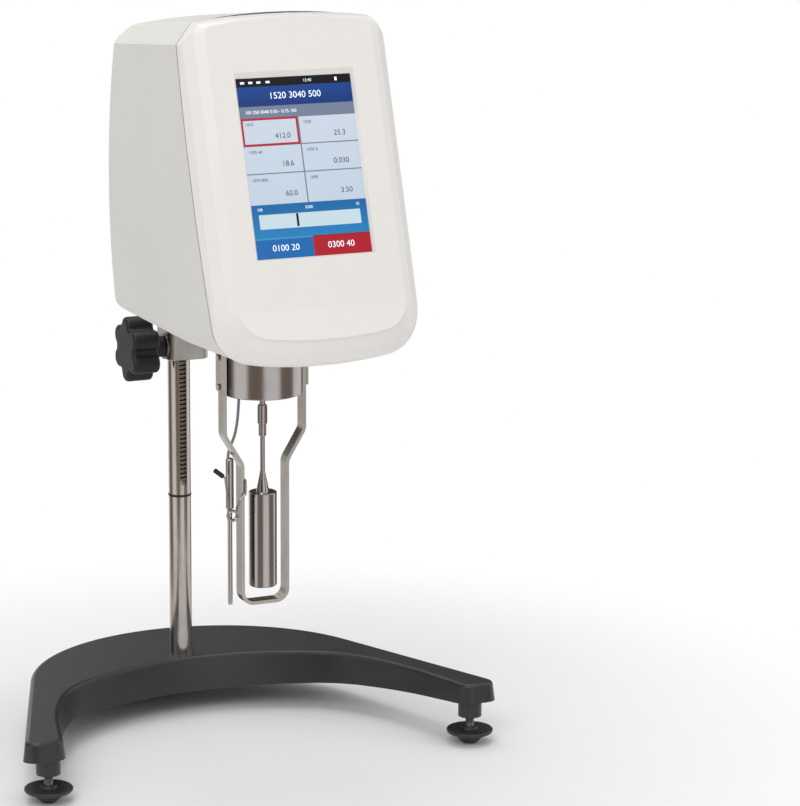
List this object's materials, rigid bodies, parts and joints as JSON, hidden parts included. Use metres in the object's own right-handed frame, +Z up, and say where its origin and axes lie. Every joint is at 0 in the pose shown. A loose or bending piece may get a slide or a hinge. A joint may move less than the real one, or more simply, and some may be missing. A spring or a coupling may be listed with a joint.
{
  "type": "rotational viscometer",
  "caption": "Rotational viscometer: slanted touch display head with a spindle, guard leg and clipped probe, on a rack and pinion upright over a crescent base.",
  "frame": {"origin": "on the bench, under the middle of the bounding box", "axes": "+X to the right of someone facing the display, +Y to the rear, +Z up"},
  "size_m": [0.3448, 0.3346, 0.5201],
  "materials": {
    "cast_iron_grey": "dark grey satin paint over iron",
    "rod_steel": "ground",
    "rack_steel": "cut",
    "ring_black": "matt",
    "screw_steel": "turned",
    "foot_rubber": "matt",
    "foot_plastic": "fine grain",
    "clamp_alloy": "cast and machined",
    "bronze": "turned",
    "nylon": "plain",
    "knob_black": "moulded",
    "shell_white": "fine moulded texture",
    "bezel_white": "satin gloss",
    "screen_glass": "clear cover over a lit display",
    "display_panel": "lit",
    "foam_black": "foam",
    "board_green": "solder mask",
    "chassis_alloy": "milled",
    "motor_black": "painted",
    "gear_brass": "cut",
    "bearing_steel": "ground",
    "spring_steel": "blued",
    "cup_steel": "turned",
    "spindle_steel": "polished",
    "guard_steel": "bent strip",
    "probe_steel": "drawn tube",
    "clip_steel": "wire",
    "grip_black": "dipped",
    "lead_grey": "sheathed",
    "gland_black": "moulded",
    "panel_grey": "powder coat",
    "socket_black": "moulded",
    "socket_metal": "pressed",
    "jewel": "polished"
  },
  "bodies": {
    "stand": {"base_casting": "cast_iron_grey", "upright_rod": "rod_steel", "lift_rack": "rack_steel", "rod_stop_ring": "ring_black", "rod_fixing_screw": "screw_steel", "rod_washer": "screw_steel", "rear_foot": "foot_rubber"},
    "left_foot": {"levelling_screw_left": "screw_steel", "foot_pad_left": "foot_plastic"},
    "right_foot": {"levelling_screw_right": "screw_steel", "foot_pad_right": "foot_plastic"},
    "carriage": {"clamp_body": "clamp_alloy", "pinion_bush": "bronze", "tension_insert": "nylon"},
    "tension_screw": {"tension_screw": "screw_steel"},
    "lock_screw": {"lock_screw": "knob_black"},
    "lift_drive": {"pinion_shaft": "rack_steel", "lift_knob": "knob_black"},
    "head": {"mounting_rod": "rod_steel", "head_chassis": "chassis_alloy", "rear_shell": "shell_white", "front_bezel": "bezel_white", "shell_screws": "screw_steel", "display_glass": "screen_glass", "display_gasket": "foam_black", "lcd_panel": "display_panel", "main_board": "board_green", "frame_pillars": "chassis_alloy", "bearing_plate": "chassis_alloy", "shaft_bearings": "bearing_steel", "stepper_motor": "motor_black", "pivot_cup": "cup_steel", "cup_screws": "screw_steel", "jewel_bearing": "jewel", "guard_leg": "guard_steel", "guard_brackets": "guard_steel", "guard_screws": "screw_steel", "temperature_probe": "probe_steel", "probe_sleeve": "probe_steel", "probe_clip": "clip_steel", "probe_lead": "lead_grey", "lead_gland": "gland_black", "connector_plate": "panel_grey", "power_inlet": "socket_black", "switch_housing": "socket_black", "usb_sockets": "socket_metal"},
    "motor_drive": {"drive_pinion": "gear_brass"},
    "drive": {"drive_gear": "gear_brass", "drive_shaft": "bearing_steel", "spring_housing": "chassis_alloy", "torque_spring": "spring_steel"},
    "measuring_shaft": {"pivot_shaft": "bearing_steel", "coupling_nut": "spindle_steel", "spindle": "spindle_steel"},
    "clip_lever": {"clip_lever": "clip_steel", "clip_grip": "grip_black"},
    "rocker": {"power_rocker": "socket_black"}
  },
  "joints": [
    {"name": "left_foot_height", "type": "slide", "parent": "stand", "child": "left_foot", "axis": [0, 0, 1], "range_m": [-0.006, 0.004]},
    {"name": "right_foot_height", "type": "slide", "parent": "stand", "child": "right_foot", "axis": [0, 0, 1], "range_m": [-0.006, 0.004]},
    {"name": "head_lift", "type": "slide", "parent": "stand", "child": "carriage", "axis": [0, 0, 1], "range_m": [-0.09, 0.08]},
    {"name": "lift_knob_turn", "type": "hinge", "parent": "carriage", "child": "lift_drive", "pos_m": [0, 0.08806, 0.269], "axis": [1, 0, 0], "range_deg": [-770, 865]},
    {"name": "tension_screw_turn", "type": "hinge", "parent": "carriage", "child": "tension_screw", "pos_m": [0.015, 0.10035, 0.3], "axis": [1, 0, 0], "range_deg": [-90, 90]},
    {"name": "lock_screw_turn", "type": "hinge", "parent": "carriage", "child": "lock_screw", "pos_m": [0.015, 0.06635, 0.327], "axis": [1, 0, 0], "range_deg": [-180, 30]},
    {"name": "head_level", "type": "hinge", "parent": "carriage", "child": "head", "pos_m": [0, 0.07035, 0.327], "axis": [0, 1, 0], "range_deg": [-3, 3]},
    {"name": "spindle_turn", "type": "hinge", "parent": "head", "child": "measuring_shaft", "pos_m": [0, -0.05565, 0.2], "axis": [0, 0, 1], "continuous": true},
    {"name": "drive_turn", "type": "hinge", "parent": "head", "child": "drive", "pos_m": [0, -0.05565, 0.36], "axis": [0, 0, 1], "continuous": true},
    {"name": "motor_turn", "type": "hinge", "parent": "head", "child": "motor_drive", "pos_m": [0, -0.03165, 0.4], "axis": [0, 0, 1], "continuous": true},
    {"name": "clip_lever_turn", "type": "hinge", "parent": "head", "child": "clip_lever", "pos_m": [-0.0232, -0.06025, 0.1825], "axis": [0, -1, 0], "range_deg": [0, 12], "stiffness_Nm_per_rad": 0.05},
    {"name": "power_rocker_tilt", "type": "hinge", "parent": "head", "child": "rocker", "pos_m": [0.03, 0.04505, 0.372], "axis": [1, 0, 0], "range_deg": [-12, 0]}
  ],
  "couplings": [
    {"joint": "lift_knob_turn", "follows": "head_lift", "rad_per_m": -166.67},
    {"joint": "drive_turn", "follows": "spindle_turn", "ratio": 1},
    {"joint": "motor_turn", "follows": "spindle_turn", "ratio": -3}
  ]
}
